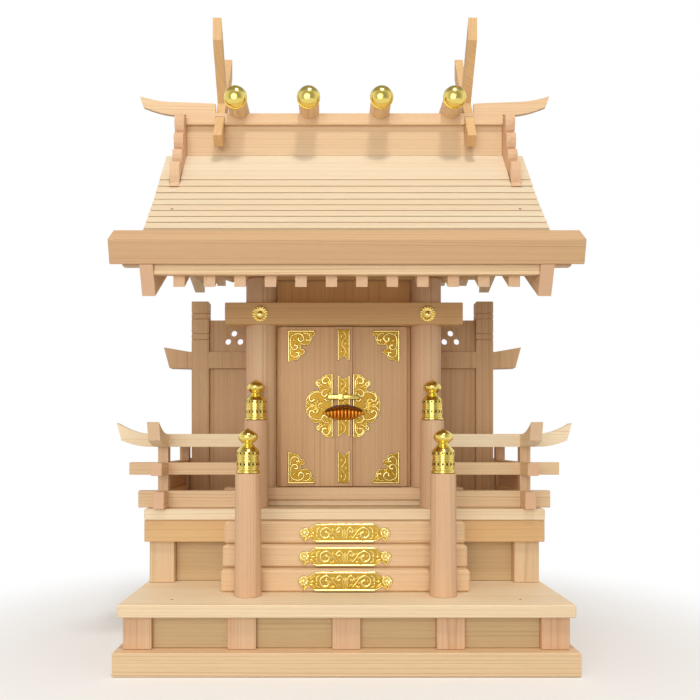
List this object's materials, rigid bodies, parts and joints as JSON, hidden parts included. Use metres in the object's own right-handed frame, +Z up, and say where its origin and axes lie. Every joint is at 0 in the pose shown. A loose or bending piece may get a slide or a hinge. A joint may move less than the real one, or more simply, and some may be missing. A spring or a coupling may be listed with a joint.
{
  "type": "kamidana household shrine",
  "caption": "Household shrine of planed cypress: stepped tiers, railings, metal newel finials, a hall with hinged locked doors and a flowing gabled roof with crossed ridge blades.",
  "frame": {"origin": "centre of the bounding box at the underside of the plinth", "axes": "+X to the right as seen from the front, +Y from the front to the back, +Z up"},
  "size_m": [0.5112, 0.3002, 0.679],
  "materials": {
    "cypress_boards": "planed, unfinished",
    "cypress_frame": "planed, unfinished",
    "cypress_doors": "planed, unfinished",
    "gilt_brass": "polished, gilt"
  },
  "bodies": {
    "shrine": {"bargeboard_left": "cypress_frame", "bargeboard_right": "cypress_frame", "column_front_left": "cypress_frame", "column_front_right": "cypress_frame", "column_rear_left": "cypress_frame", "column_rear_right": "cypress_frame", "cross_left": "cypress_boards", "cross_right": "cypress_boards", "door_frame": "cypress_doors", "eave_board": "cypress_frame", "fascia": "cypress_frame", "finial_front_left": "gilt_brass", "finial_front_right": "gilt_brass", "finial_rear_left": "gilt_brass", "finial_rear_right": "gilt_brass", "floor": "cypress_boards", "floor_beam": "cypress_frame", "hall_floor": "cypress_boards", "inner_floor": "cypress_boards", "lintel": "cypress_frame", "lower_wall": "cypress_frame", "newel_front_left": "cypress_frame", "newel_front_right": "cypress_frame", "newel_rear_left": "cypress_frame", "newel_rear_right": "cypress_frame", "platform": "cypress_boards", "plinth": "cypress_boards", "purlin_front": "cypress_frame", "purlin_rear": "cypress_frame", "rafters_front": "cypress_frame", "rafters_rear": "cypress_frame", "railing_left": "cypress_frame", "railing_right": "cypress_frame", "ridge_board": "cypress_boards", "ridge_box": "cypress_boards", "ridge_log_1": "cypress_boards", "ridge_log_2": "cypress_boards", "ridge_log_3": "cypress_boards", "ridge_log_4": "cypress_boards", "roof_front": "cypress_boards", "roof_rear": "cypress_boards", "scroll_left": "cypress_boards", "scroll_right": "cypress_boards", "sill": "cypress_frame", "step_1": "cypress_frame", "step_2": "cypress_frame", "step_3": "cypress_frame", "upper_wall": "cypress_frame", "wall_back": "cypress_frame", "wall_left": "cypress_frame", "wall_right": "cypress_frame", "wing_left": "cypress_frame", "wing_right": "cypress_frame"},
    "door_left": {"door_left": "cypress_doors"},
    "door_right": {"door_right": "cypress_doors", "lock": "gilt_brass"}
  },
  "joints": [
    {"name": "door_right_hinge", "type": "hinge", "parent": "shrine", "child": "door_right", "pos_m": [0.0697, 0.0219, 0.2668], "axis": [0, 0, 1], "range_deg": [0, 90]},
    {"name": "door_left_hinge", "type": "hinge", "parent": "shrine", "child": "door_left", "pos_m": [-0.0697, 0.0219, 0.2668], "axis": [0, 0, 1], "range_deg": [-90, 0]}
  ],
  "couplings": [
    {"joint": "door_left_hinge", "follows": "door_right_hinge", "ratio": -1}
  ]
}
